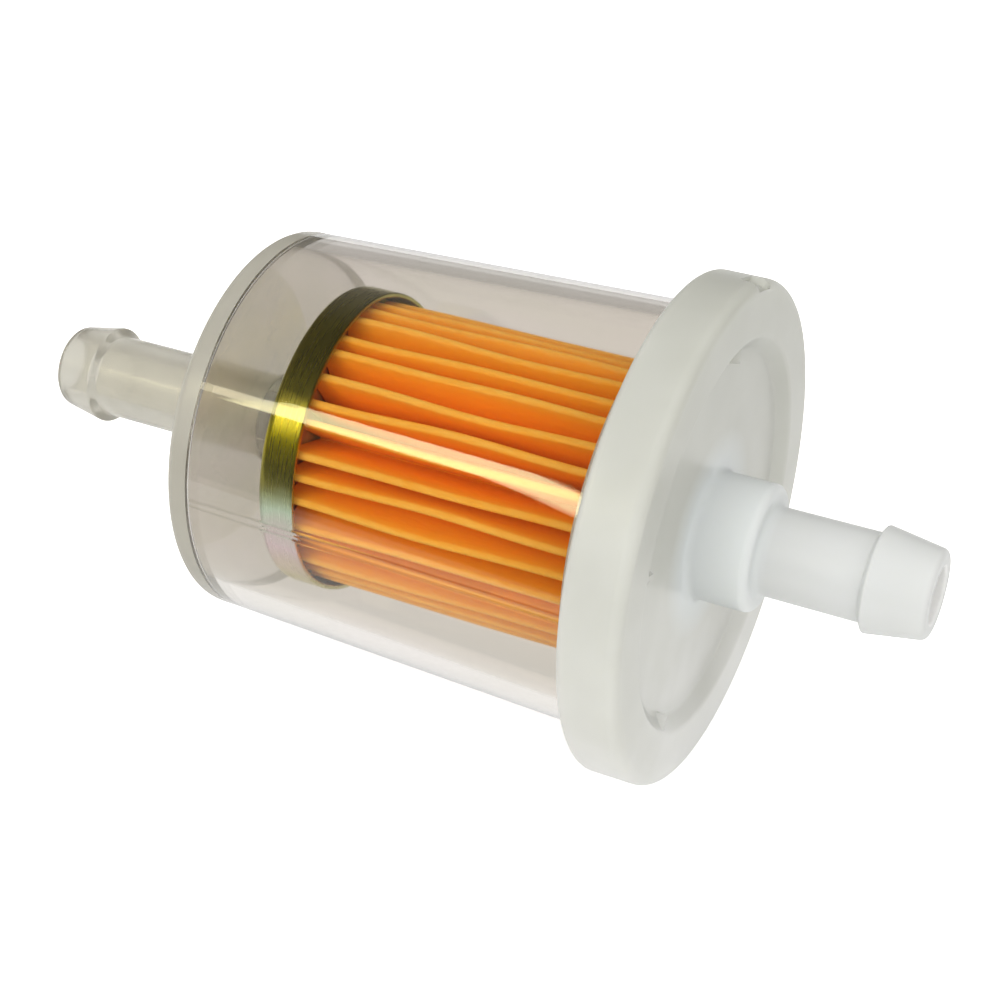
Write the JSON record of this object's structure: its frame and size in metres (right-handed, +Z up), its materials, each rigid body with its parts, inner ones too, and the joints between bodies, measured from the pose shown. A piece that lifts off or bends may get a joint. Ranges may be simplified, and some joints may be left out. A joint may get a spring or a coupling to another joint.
{
  "type": "fuel filter",
  "caption": "In-line fuel filter: clear bowl with a hose nipple, pleated paper element inside, flanged cap with a second nipple.",
  "frame": {"origin": "centre of the bounding box, on the flow axis", "axes": "+X along the flow axis from the inlet nipple to the outlet nipple, +Z up"},
  "size_m": [0.0794, 0.041, 0.041],
  "materials": {
    "clear_nylon": "clear, slightly hazy moulded plastic",
    "milky_nylon": "natural, milky translucent moulded plastic",
    "yellow_zinc": "yellow zinc plating with a slight rainbow",
    "potting": "cured amber adhesive",
    "filter_paper": "resin-treated orange filter paper",
    "core_plastic": "natural moulded plastic"
  },
  "bodies": {
    "root": {"bowl": "clear_nylon", "outlet_cap": "milky_nylon", "closed_end_cup": "yellow_zinc", "closed_end_potting": "potting", "open_end_potting": "potting", "pleated_element": "filter_paper", "centre_tube": "core_plastic", "seam_bead": "potting"}
  },
  "joints": []
}
